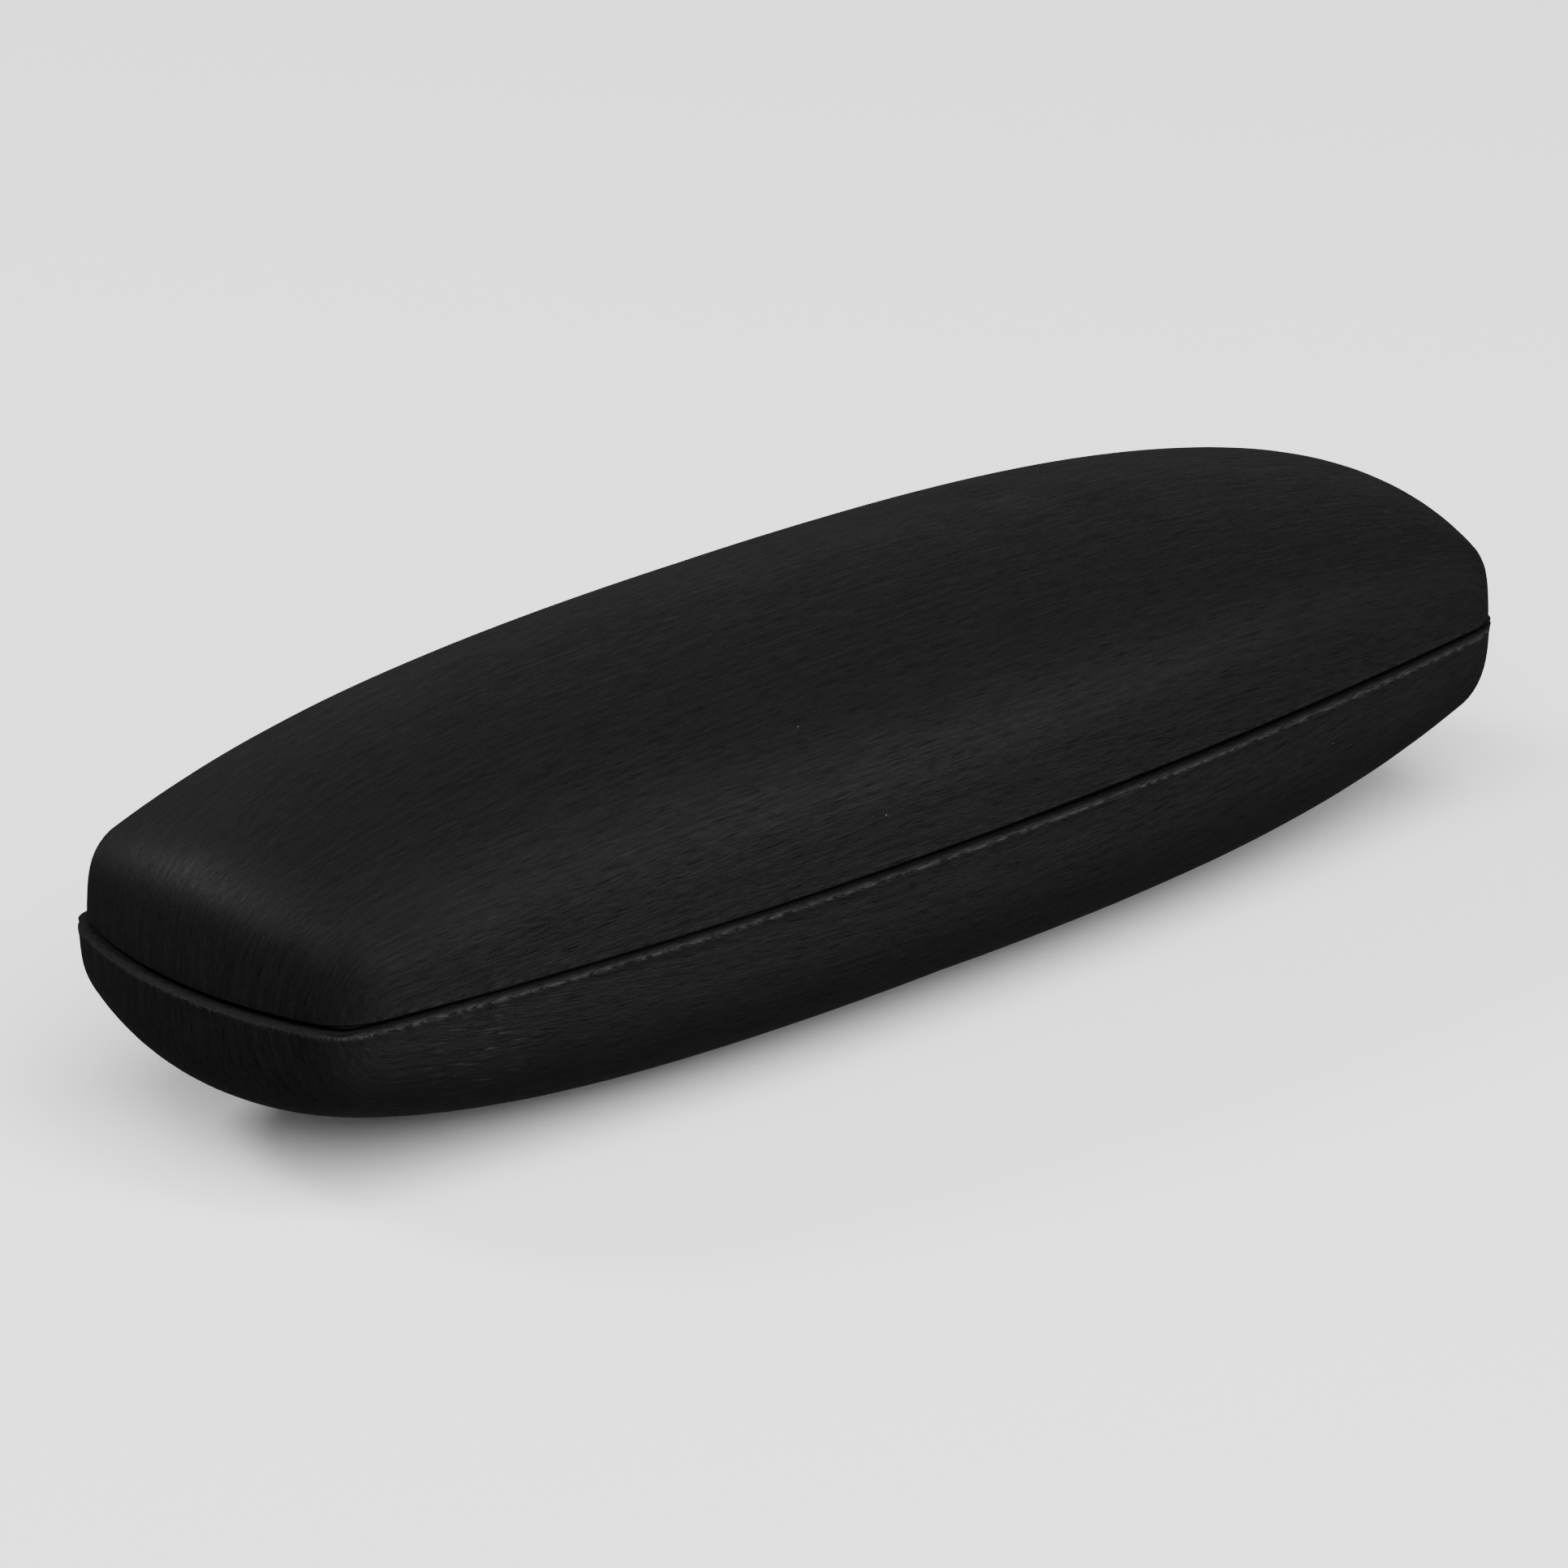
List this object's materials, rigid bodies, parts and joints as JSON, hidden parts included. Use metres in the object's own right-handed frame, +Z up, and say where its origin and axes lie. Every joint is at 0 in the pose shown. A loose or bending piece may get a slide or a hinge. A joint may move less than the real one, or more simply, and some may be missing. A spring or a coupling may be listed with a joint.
{
  "type": "eyeglasses case",
  "caption": "Slim clamshell eyeglasses case: hard shells wrapped in black brushed leatherette, velour lined, with a snap hinge along the back.",
  "frame": {"origin": "on the surface the case rests on, at the middle of the flat foot of its underside", "axes": "+X along the length, -Y towards the opening edge, +Y towards the hinge, +Z up"},
  "size_m": [0.1601, 0.0529, 0.0392],
  "materials": {
    "leatherette": "black leatherette with a fine brushed grain along the length, satin",
    "pressed_steel": "bare pressed sheet steel",
    "hinge_steel": "blackened steel, satin",
    "liner_board": "moulded fibre board",
    "velour": "short-pile black velour"
  },
  "bodies": {
    "base": {"base_cover": "leatherette", "base_shell": "pressed_steel", "base_board": "liner_board", "base_lining": "velour", "hinge_leaf_base": "hinge_steel", "leaf_rivet_base_1": "hinge_steel", "leaf_rivet_base_2": "hinge_steel", "leaf_rivet_base_3": "hinge_steel", "leaf_rivet_base_4": "hinge_steel", "hinge_pin": "hinge_steel", "hinge_spring": "pressed_steel", "spring_rivet_1": "hinge_steel", "spring_rivet_2": "hinge_steel", "hinge_gusset": "velour"},
    "lid": {"lid_cover": "leatherette", "lid_shell": "pressed_steel", "lid_board": "liner_board", "lid_lining": "velour", "hinge_leaf_lid": "hinge_steel", "leaf_rivet_lid_1": "hinge_steel", "leaf_rivet_lid_2": "hinge_steel", "leaf_rivet_lid_3": "hinge_steel", "leaf_rivet_lid_4": "hinge_steel"}
  },
  "joints": [
    {"name": "lid_hinge", "type": "hinge", "parent": "base", "child": "lid", "pos_m": [0, 0.0258, 0.01957], "axis": [-1, 0, 0], "range_deg": [0, 110], "deforming": ["hinge_gusset"]}
  ]
}
